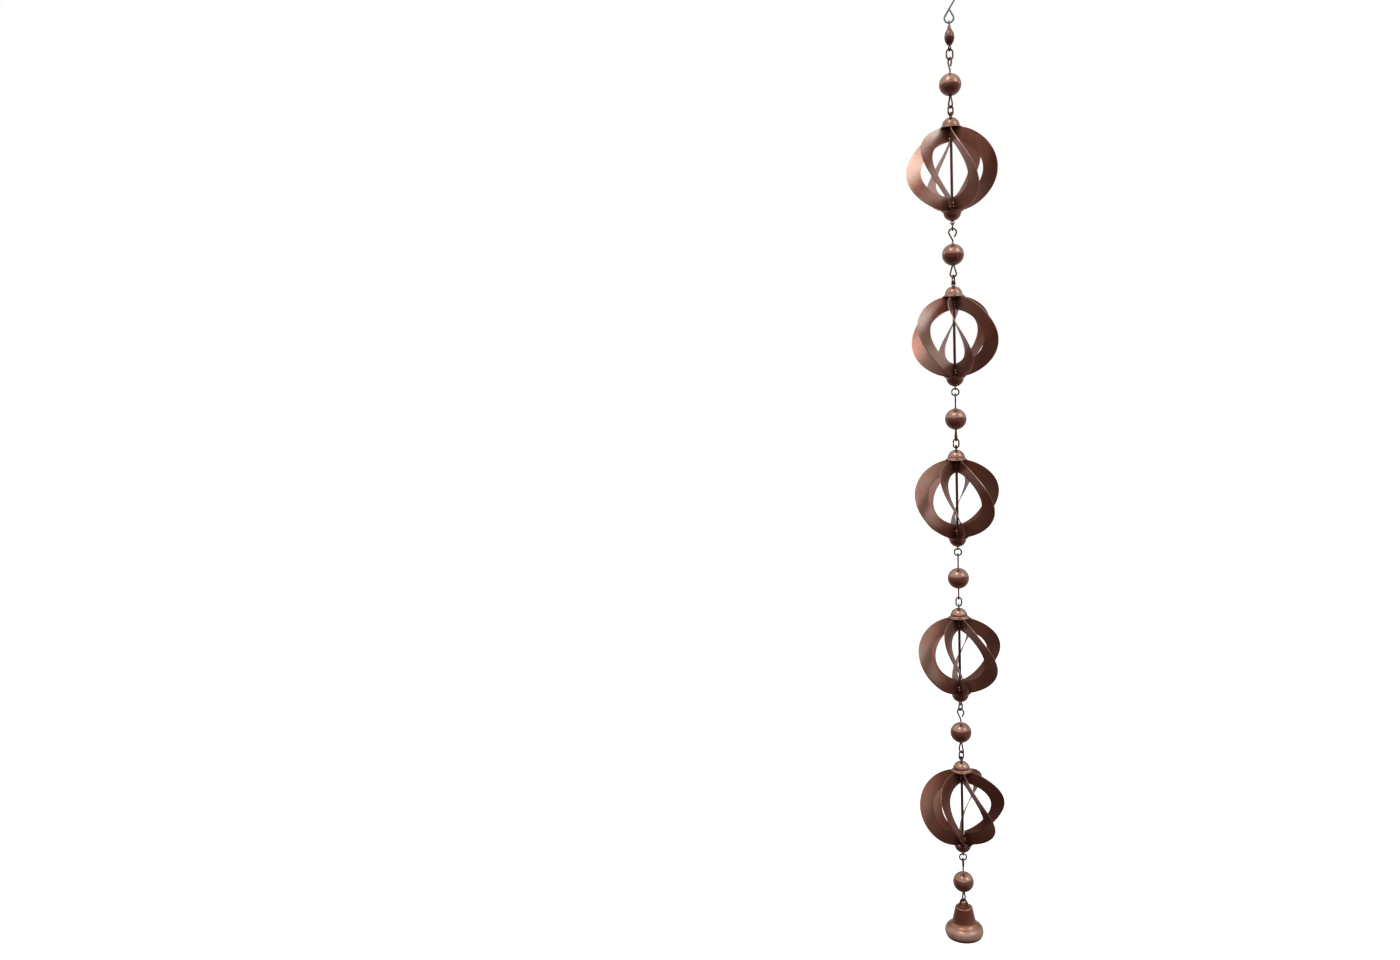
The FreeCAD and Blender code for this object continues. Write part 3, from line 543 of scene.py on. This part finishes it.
class Workshop:
    """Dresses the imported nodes, and turns mesh code into pieces that ride on the chain's bodies."""

    def __init__(self, nodes: dict[str, bpy.types.Object]) -> None:
        """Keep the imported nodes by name."""
        self.nodes = nodes

    def dress(self, node: str, material: bpy.types.Material) -> None:
        """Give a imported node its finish.

        Args:
            node: The node's name.
            material: The finish.
        """
        slots = self.nodes[node].data.materials
        slots.clear()
        slots.append(material)
        LOG.info("dressed %s in %s", node, material.name)

    def add(self, name: str, shape: bmesh.types.BMesh, material: bpy.types.Material, body: str) -> None:
        """Make a piece from a shape and hang it on a body.

        Args:
            name: The piece's name.
            shape: Its faces, in metres in the frame. It is used up.
            material: The finish.
            body: The body that it rides on.
        """
        mesh = bpy.data.meshes.new(name)
        bmesh.ops.recalc_face_normals(shape, faces=shape.faces)
        for face in shape.faces:
            face.smooth = True
        shape.to_mesh(mesh)
        shape.free()
        mesh.materials.append(material)
        piece = bpy.data.objects.new(name, mesh)
        bpy.context.scene.collection.objects.link(piece)
        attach(piece, body)
        LOG.info("made %s: %d faces on %s", name, len(mesh.polygons), body)

    @staticmethod
    def add_blob(shape: bmesh.types.BMesh, centre: Vector, spread: Vector, seed: float,
                 lumps: float = 0.12, fineness: int = 3) -> None:
        """Add a lumpy drop of weld or paint to a shape.

        Args:
            shape: What it is added to.
            centre: Its middle.
            spread: Its half width along each axis.
            seed: Sets its lumps apart from other drops'.
            lumps: How deep they are, as a share of its size.
            fineness: How often the ball that it starts from is divided.
        """
        ball = bmesh.ops.create_icosphere(shape, subdivisions=fineness, radius=1.0)
        for point in ball["verts"]:
            swell = 1 + lumps * noise.noise(point.co * 1.7 + Vector((seed, 3.1 * seed, -seed)))
            point.co = centre + Vector(a * b for a, b in zip(point.co * swell, spread))

    @staticmethod
    def round_section(radius: float, height: float, half: float,
                      sides: int = 10) -> list[tuple[float, float]]:
        """The section of a round bead that runs about the chain's axis.

        Args:
            radius: How far its middle is from the axis.
            height: Its middle's height.
            half: Its half thickness.
            sides: How many corners it has.

        Returns:
            Its corners, as pairs of radius and height.
        """
        turn = [math.tau * step / sides for step in range(sides)]
        return [(radius + half * math.cos(a), height + half * math.sin(a)) for a in turn]

    @staticmethod
    def add_collar(shape: bmesh.types.BMesh, level: float, outline: Sequence[tuple[float, float]],
                   seed: float, lumps: float, sides: int = 56) -> None:
        """Add a turned collar about the chain's axis to a shape.

        Args:
            shape: What it is added to.
            level: The height that the outline's heights count from.
            outline: The closed section, as pairs of radius and height.
            seed: Sets its lumps apart from other collars'.
            lumps: How far its surface wanders, in metres.
            sides: How many steps it has around.
        """
        rings = []
        for step in range(sides):
            angle = math.tau * step / sides
            out = Vector((math.cos(angle), math.sin(angle), 0))
            ring = []
            for radius, height in outline:
                wander = lumps * noise.noise(out * 2.3 + Vector((seed, height * 900, seed)))
                point = out * (radius + wander)
                point.z = level + height + wander
                ring.append(shape.verts.new(point))
            rings.append(ring)
        for one, other in zip(rings, rings[1:] + rings[:1]):
            for here, there in zip(range(len(outline)), [*range(1, len(outline)), 0]):
                shape.faces.new((one[here], other[here], other[there], one[there]))


@dataclass
class Hanger:
    """The steel S-hook and the swivel under it."""

    swivel_parts: tuple[str, ...] = ("swivel_upper_eye", "swivel_barrel", "swivel_lower_eye")
    swivel_light: Colour = (0.27, 0.135, 0.110)
    swivel_middle: Colour = (0.17, 0.077, 0.062)
    crimp_radius: float = 2.62 * MM
    crimp_thickness: float = 0.25 * MM
    crimp_depth: float = 0.30 * MM
    crimp_lumps: float = 0.06 * MM

    def build(self, shop: Workshop) -> None:
        """Dress both and add the barrel's crimped ends.

        Args:
            shop: Where pieces are made.
        """
        shop.dress("s_hook", HookSteel("drawn_hook_steel").build())
        paint = CopperPaint("swivel_paint", Coating.PRESSED, self.swivel_light, self.swivel_middle).build()
        for part in self.swivel_parts:
            shop.dress(part, paint)
        low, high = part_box("swivel_barrel")
        self._add_crimp(shop, "swivel_crimp_top", high.z, 1)
        self._add_crimp(shop, "swivel_crimp_foot", low.z, -1)

    def _add_crimp(self, shop: Workshop, name: str, level: float, way: int) -> None:
        """Add the ring of creased metal where a barrel's end is rolled in.

        Args:
            shop: Where pieces are made.
            name: The piece's name.
            level: The barrel end's height.
            way: 1 at the top, -1 at the foot.
        """
        outline = shop.round_section(self.crimp_radius, -self.crimp_depth * way, self.crimp_thickness)
        shape = bmesh.new()
        shop.add_collar(shape, level, outline, 4.0 + way, self.crimp_lumps)
        shop.add(name, shape, WeldSkin(f"{name}_skin", gloss=0.26).build(), "barrel")


@dataclass
class Ring:
    """One open ring of wire."""

    name: str
    yaw: float
    wire: float = 1.8 * MM

    def build(self, shop: Workshop) -> None:
        """Dress the ring, with bare metal where it was cut.

        Args:
            shop: Where pieces are made.
        """
        low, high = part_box(self.name)
        turn = math.radians(self.yaw)
        flat = Vector((math.cos(turn), math.sin(turn), 0))
        half = max(high.x - low.x - self.wire, high.y - low.y - self.wire) / 2
        bend = half / max(abs(flat.x), abs(flat.y))
        cut = (low + high) / 2 - flat * bend
        shop.dress(self.name, CutWirePaint(f"{self.name}_paint", Coating.WIRE, cut=cut).build())


@dataclass
class Ball:
    """One hollow ball and the bent wire through it."""

    number: int
    radius: float = 12.0 * MM
    wire_radius: float = 0.9 * MM
    leg_hole_radius: float = 2.02 * MM
    fillet_wall: tuple[tuple[float, float], ...] = (
        (-0.10, 1.50), (0.03, 1.50), (0.10, 1.00), (0.28, 0.50), (0.75, 0.12))
    fillet_toe: float = 2.1 * MM
    fillet_edge: float = 2.7 * MM
    lip_thickness: float = 0.17 * MM
    lip_inset: float = 0.14 * MM

    def build(self, shop: Workshop, shell: bpy.types.Material, wire: bpy.types.Material,
              skin: bpy.types.Material) -> None:
        """Dress the ball and its wire, and add what the paint left at its two holes.

        Args:
            shop: Where pieces are made.
            shell: The ball's finish.
            wire: The wire's finish.
            skin: The finish of thick paint.
        """
        name = f"ball_{self.number}"
        low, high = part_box(name)
        centre = (low.z + high.z) / 2
        shop.dress(name, shell)
        shop.dress(f"{name}_wire", wire)
        shape = bmesh.new()
        shop.add_collar(shape, centre, self._fillet(), 1.7 * self.number, 0.10 * MM)
        shop.add(f"{name}_fillet", shape, shell, name)
        edge = self.leg_hole_radius + self.lip_inset
        lip = shop.round_section(edge, -self._on_ball(edge), self.lip_thickness)
        shape = bmesh.new()
        shop.add_collar(shape, centre, lip, 5.3 * self.number, 0.09 * MM)
        shop.add(f"{name}_hole_lip", shape, skin, name)

    def _fillet(self) -> list[tuple[float, float]]:
        """The section of the paint that ran down the wire and set round its foot on the ball."""
        wall = [(self.wire_radius + out * MM, self.radius + up * MM) for out, up in self.fillet_wall]
        toe, neck = self._on_ball(self.fillet_toe), self._on_ball(self.fillet_edge)
        return [*wall, (self.fillet_toe, toe + 0.07 * MM), (self.fillet_edge, neck - 0.03 * MM),
                (self.wire_radius - 0.1 * MM, neck - 0.3 * MM)]

    def _on_ball(self, radius: float) -> float:
        """How high the ball's surface is above its centre, this far from the axis."""
        return math.sqrt(self.radius ** 2 - radius ** 2)


@dataclass
class Spinner:
    """One cage of six twisted blades on two sleeves, with its caps and the axle that it turns on."""

    number: int
    turn: float
    # painted shade: how far this cage's blades are darkened, more further down the chain
    age: float
    rise: float = 45.7 * MM
    twist: float = 60.0
    blades: int = 6
    sleeve_bore: float = 1.80 * MM
    brim_radius: float = 11.95 * MM
    top_welds: tuple[float, ...] = (35.6, 38.2, 41.0)
    top_weld_sizes: tuple[float, float] = (1.10, 1.45)
    top_drops: int = 110
    foot_welds: tuple[float, ...] = (-37.9, -40.9)
    foot_weld_sizes: tuple[float, float] = (1.60, 2.05)
    foot_drops: int = 50

    def build(self, shop: Workshop, wire: bpy.types.Material, sleeve: bpy.types.Material,
              skin: bpy.types.Material) -> None:
        """Dress the spinner, and add its weld beads and the crust on its brims.

        Args:
            shop: Where pieces are made.
            wire: The axle's finish.
            sleeve: The sleeves' finish.
            skin: The finish of weld beads and thick paint.
        """
        name = f"spinner_{self.number}"
        low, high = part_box(f"{name}_blades")
        centre = (low.z + high.z) / 2
        paint = BladePaint(f"{name}_blade_paint", Coating.SHEET, centre=centre, age=self.age)
        shop.dress(f"{name}_blades", paint.build())
        shop.dress(f"{name}_axle", wire)
        top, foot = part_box(f"{name}_top_cap")[0].z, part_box(f"{name}_bottom_cap")[1].z
        for part, brim in (("top_cap", top), ("bottom_cap", foot)):
            shop.dress(f"{name}_{part}", CapPaint(f"{name}_{part}_paint", Coating.PRESSED, brim=brim).build())
        for part in ("top_sleeve", "bottom_sleeve"):
            shop.dress(f"{name}_{part}", sleeve)
        self._add_welds(shop, f"{name}_top_welds", centre, self.top_welds, self.top_weld_sizes, skin)
        self._add_welds(shop, f"{name}_foot_welds", centre, self.foot_welds, self.foot_weld_sizes, skin)
        self._add_crust(shop, f"{name}_top_crust", top, self.top_drops, skin)
        self._add_crust(shop, f"{name}_foot_crust", foot, self.foot_drops, skin)

    def _add_welds(self, shop: Workshop, name: str, centre: float, heights: tuple[float, ...],
                   sizes: tuple[float, float], skin: bpy.types.Material) -> None:
        """Add the beads that join the blades to a sleeve, in the narrow gaps between the blades.

        Args:
            shop: Where pieces are made.
            name: The piece's name.
            centre: The height of the cage's middle.
            heights: How far above the middle the beads are, in millimetres.
            sizes: The least and the greatest radius of a bead, in millimetres.
            skin: The beads' finish.
        """
        shape = bmesh.new()
        for gap in range(self.blades):
            for height in heights:
                radius = random.uniform(*sizes) * MM
                level = (height + random.uniform(-0.5, 0.5)) * MM
                azimuth = (self.turn - self.twist * level / (2 * self.rise)
                           + 360 * (gap + 0.5) / self.blades + random.uniform(-7, 7))
                out = Vector((math.cos(math.radians(azimuth)), math.sin(math.radians(azimuth)), 0))
                middle = out * (self.sleeve_bore + radius) + Vector((0, 0, centre + level))
                spread = Vector((radius, radius, radius * random.uniform(0.85, 1.15)))
                shop.add_blob(shape, middle, spread, random.uniform(0, 50))
        shop.add(name, shape, skin, f"cage_{self.number}")

    def _add_crust(self, shop: Workshop, name: str, level: float, drops: int,
                   skin: bpy.types.Material) -> None:
        """Add the small drops that crowd here and there on a brim's edge.

        Args:
            shop: Where pieces are made.
            name: The piece's name.
            level: The height of the brim's edge.
            drops: How many there are.
            skin: The drops' finish.
        """
        shape = bmesh.new()
        crowds = [random.uniform(0, math.tau) for _ in range(5)]
        for _ in range(drops):
            angle = random.choice(crowds) + random.gauss(0, 0.35)
            radius = random.uniform(0.10, 0.34) * MM
            out = Vector((math.cos(angle), math.sin(angle), 0))
            middle = out * (self.brim_radius - random.uniform(0, 0.35) * MM)
            middle.z = level + random.uniform(-0.12, 0.30) * MM
            spread = Vector((radius, radius, radius))
            shop.add_blob(shape, middle, spread, random.uniform(0, 50), lumps=0.3, fineness=2)
        shop.add(name, shape, skin, f"cage_{self.number}")


@dataclass
class Bell:
    """The cast bell, its clapper and the weld at its lug's foot."""

    lug_yaw: float = -28.0
    lug_thickness: float = 1.8 * MM
    lug_foot: float = 8.4 * MM
    crown: float = -1064.863 * MM
    beads: int = 9
    bead_sizes: tuple[float, float] = (0.52, 0.74)
    bead_out: float = 0.20 * MM
    bead_rise: float = 0.10 * MM

    def build(self, shop: Workshop, wire: bpy.types.Material, skin: bpy.types.Material) -> None:
        """Dress the bell and the clapper, and add the weld along both sides of the lug.

        Args:
            shop: Where pieces are made.
            wire: The clapper wire's finish.
            skin: The finish of weld beads.
        """
        shop.dress("bell", BellPaint("bell_paint", Coating.CAST, mouth=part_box("bell")[0].z).build())
        shop.dress("clapper_wire", wire)
        shop.dress("clapper_bob", CopperPaint("bob_paint", Coating.PRESSED).build())
        turn = math.radians(self.lug_yaw)
        along = Vector((math.cos(turn), math.sin(turn), 0))
        aside = Vector((-along.y, along.x, 0))
        reach = self.lug_thickness / 2 + self.bead_out
        shape = bmesh.new()
        for side in (-1, 1):
            for bead in range(self.beads):
                share = bead / (self.beads - 1) - 0.5
                radius = random.uniform(*self.bead_sizes) * MM
                middle = along * share * self.lug_foot + aside * side * reach
                middle.z = self.crown + self.bead_rise
                spread = Vector((radius * 1.2, radius * 1.2, radius))
                shop.add_blob(shape, middle, spread, random.uniform(0, 50))
        shop.add("bell_lug_weld", shape, skin, "bell")


@dataclass(frozen=True)
class Softbox:
    """One softbox: its name, where it hangs from the chain's middle, its size, power and colour."""

    name: str
    way: tuple[float, float, float]
    distance: float
    size: tuple[float, float]
    power: float
    colour: Colour = (1.0, 0.99, 0.98)

    def hang(self, middle: Vector) -> None:
        """Hang the softbox so that it faces a point.

        Args:
            middle: The point that it faces.
        """
        data = bpy.data.lights.new(self.name, "AREA")
        data.shape = "RECTANGLE"
        data.size, data.size_y = self.size
        data.energy = self.power
        data.color = self.colour
        lamp = bpy.data.objects.new(self.name, data)
        lamp.location = middle + Vector(self.way).normalized() * self.distance
        lamp.rotation_euler = (middle - lamp.location).to_track_quat("-Z", "Y").to_euler()
        bpy.context.scene.collection.objects.link(lamp)


@dataclass
class Studio:
    """A pale paper floor, a soft white tent that is dark in front and below, two softboxes and the camera."""

    floor_gap: float = 0.16
    floor_span: float = 90.0
    lens: float = 28.98
    camera_place: Vector = field(default_factory=lambda: Vector((0.0, -1.3080, -0.3935)))
    camera_yaw: float = 12.917
    camera_pitch: float = 6.545
    camera_roll: float = -2.457
    tent: Colour = (1.0, 0.99, 0.97)
    zenith: Colour = (1.42, 1.38, 1.36)
    far_tent: Colour = (0.42, 0.40, 0.39)
    shade: Colour = (0.066, 0.033, 0.030)
    glow: Colour = (0.35, 0.19, 0.16)
    far_shade: Colour = (0.42, 0.42, 0.44)
    side_shade: Colour = (0.36, 0.22, 0.18)
    backdrop: Colour = (1.0, 1.0, 0.995)
    middle: Vector = field(default_factory=lambda: Vector((0, 0, -0.55)))
    softboxes: tuple[Softbox, ...] = (
        Softbox("softbox_top", (-0.26, -0.40, 0.88), 3.0, (1.3, 1.5), 14.0),
        Softbox("softbox_right", (0.69, -0.33, 0.64), 3.4, (1.5, 1.8), 20.0, (0.55, 0.83, 1.0)))

    def build(self) -> None:
        """Set up the world, the floor, the lamps and the camera."""
        bpy.context.scene.view_settings.view_transform = "Standard"
        self._fill_world()
        self._lay_floor(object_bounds()[0].z - self.floor_gap)
        for softbox in self.softboxes:
            softbox.hang(self.middle)
        self._aim_camera()

    def _fill_world(self) -> None:
        """Light from all round by direction: white above and behind, dark in front and below."""
        world = bpy.data.worlds.new("studio_tent")
        bpy.context.scene.world = world
        bench = Bench(world)
        aside, ahead, up = bench.axes(bench.node("ShaderNodeTexCoord", out="Generated"))
        above = (up - 0.20 * (0 - ahead).ramp(-0.35, 0.45)).ramp(0.06, 0.16)
        seen = bench.node("ShaderNodeLightPath", out="Is Camera Ray")
        low = bench.blend(up.ramp(-0.7, 0.5), self.shade, self.glow)
        low = bench.blend(aside.ramp(0.35, 0.95) * 0.6, low, self.side_shade)
        low = bench.blend(ahead.ramp(-0.3, 1.1), low, self.far_shade)
        cloth = bench.blend(up.ramp(0.72, 1.0), self.tent, self.zenith)
        cloth = bench.blend(ahead.ramp(0.25, 0.95), cloth, self.far_tent)
        cloth = bench.blend(seen, cloth, self.backdrop)
        colour = bench.blend(above.most(seen), low, cloth)
        tent = bench.node("ShaderNodeBackground", None, {"Color": colour, "Strength": 1.0})
        bench.node("ShaderNodeOutputWorld", None, {"Surface": tent})

    def _lay_floor(self, level: float) -> None:
        """Lay the paper floor.

        Args:
            level: Its height.
        """
        shape = bmesh.new()
        bmesh.ops.create_grid(shape, x_segments=8, y_segments=8, size=self.floor_span / 2,
                              matrix=Matrix.Translation((0, 0, level)))
        mesh = bpy.data.meshes.new("paper_floor")
        shape.to_mesh(mesh)
        shape.free()
        mesh.materials.append(StudioPaper("white_paper").build())
        floor = bpy.data.objects.new("paper_floor", mesh)
        floor.visible_glossy = False
        floor.visible_diffuse = False
        bpy.context.scene.collection.objects.link(floor)
        floor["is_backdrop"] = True
        LOG.info("laid the floor at %.3f m", level)

    def _aim_camera(self) -> None:
        """Put the camera where it sees the whole chain as the photograph's right-hand view does."""
        yaw, pitch, roll = (math.radians(a) for a in (self.camera_yaw, self.camera_pitch, self.camera_roll))
        ahead = Vector((-math.sin(yaw) * math.cos(pitch), math.cos(yaw) * math.cos(pitch), -math.sin(pitch)))
        level = Vector((math.cos(yaw), math.sin(yaw), 0))
        upright = level.cross(ahead)
        right = level * math.cos(roll) + upright * math.sin(roll)
        up = upright * math.cos(roll) - level * math.sin(roll)
        data = bpy.data.cameras.new("studio_camera")
        data.lens = self.lens
        data.sensor_width = 36.0
        data.clip_end = 300.0
        camera = bpy.data.objects.new("studio_camera", data)
        pose = Matrix((right, up, -ahead)).transposed().to_4x4()
        pose.translation = self.camera_place
        camera.matrix_world = pose
        bpy.context.scene.collection.objects.link(camera)
        bpy.context.scene.camera = camera


@dataclass
class RainChain:
    """The whole chain, from the hook down to the bell."""

    first_ring_yaw: float = 25.0
    upper_ring_yaws: tuple[float, ...] = (35.0, 70.0, 15.0, 0.0, 40.0)
    lower_ring_yaws: tuple[float, ...] = (90.0, 0.0, 0.0, 60.0, 8.0)
    cage_turns: tuple[float, ...] = (57.0, 42.0, 21.0, 23.5, 12.0)
    # painted shade per cage: each lower cage is darkened more, standing in for light that falls off down the
    # chain
    cage_painted_shades: tuple[float, ...] = (0.0, 0.25, 0.45, 0.47, 0.76)
    sleeve_light: Colour = (0.27, 0.135, 0.095)

    def build(self, shop: Workshop) -> None:
        """Dress every sub-assembly in the order in which they hang.

        Args:
            shop: Where pieces are made.
        """
        wire = WirePaint("wire_paint", Coating.WIRE).build()
        shell = CopperPaint("ball_paint", Coating.PRESSED).build()
        sleeve = CopperPaint("sleeve_paint", Coating.CAST, self.sleeve_light).build()
        skin = WeldSkin("weld_skin").build()
        Hanger().build(shop)
        Ring("ring_first", self.first_ring_yaw).build(shop)
        for number, turn in enumerate(self.cage_turns, start=1):
            Ball(number).build(shop, shell, wire, skin)
            Ring(f"ring_upper_{number}", self.upper_ring_yaws[number - 1]).build(shop)
            Spinner(number, turn, self.cage_painted_shades[number - 1]).build(shop, wire, sleeve, skin)
            Ring(f"ring_lower_{number}", self.lower_ring_yaws[number - 1]).build(shop)
        Ball(len(self.cage_turns) + 1).build(shop, shell, wire, skin)
        Bell().build(shop, wire, skin)


def main() -> None:
    logging.basicConfig(level=logging.INFO, format="%(name)s: %(message)s")
    random.seed(11)
    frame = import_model()
    RainChain().build(Workshop(frame["nodes"]))
    Studio().build()


if __name__ == "__main__":
    main()
